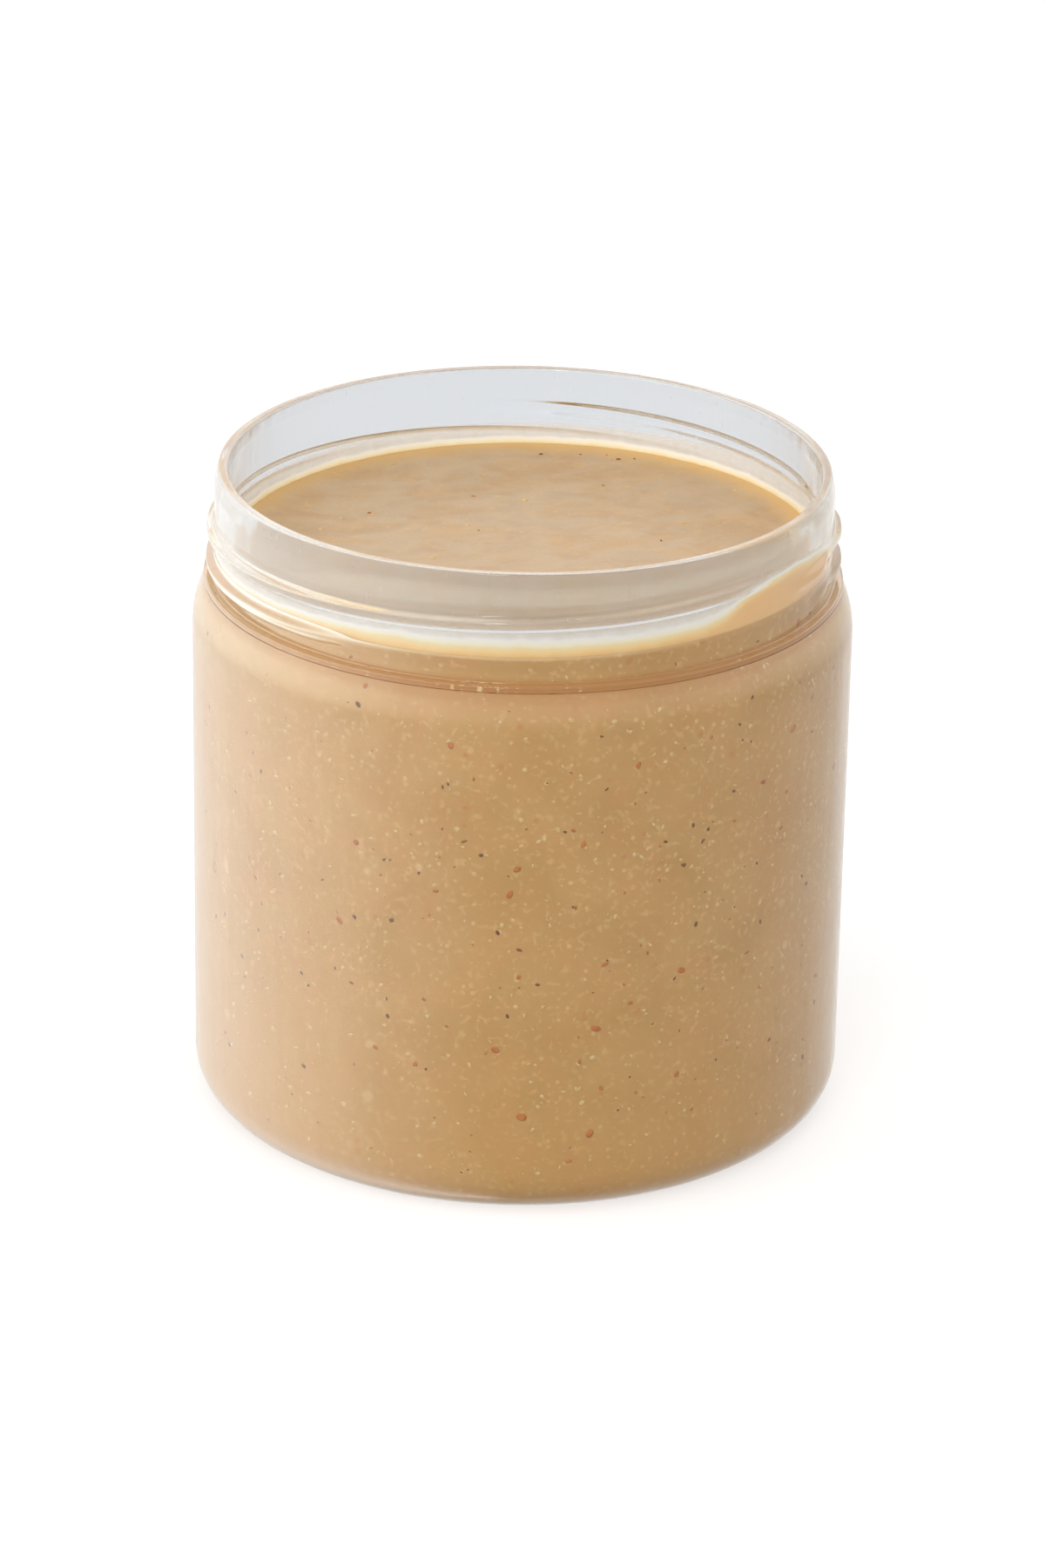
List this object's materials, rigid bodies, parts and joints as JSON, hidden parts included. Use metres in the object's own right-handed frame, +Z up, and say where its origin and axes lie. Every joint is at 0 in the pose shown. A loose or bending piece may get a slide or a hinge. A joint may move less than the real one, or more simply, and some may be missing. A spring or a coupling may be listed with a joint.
{
  "type": "jar of hazelnut spread",
  "caption": "Open clear wide-mouth screw-neck jar, straight-sided with a round heel, filled with smooth tan nut spread to just below its thread.",
  "frame": {"origin": "centre of the face that the jar stands on", "axes": "+Z up along the jar's axis, towards its mouth; -Y is the side that faces the viewer in the reference view"},
  "size_m": [0.0928, 0.0928, 0.094],
  "materials": {
    "clear_plastic": "clear, glossy",
    "nut_spread": "soft, slightly oily"
  },
  "bodies": {
    "root": {"jar": "clear_plastic", "spread": "nut_spread"}
  },
  "joints": []
}
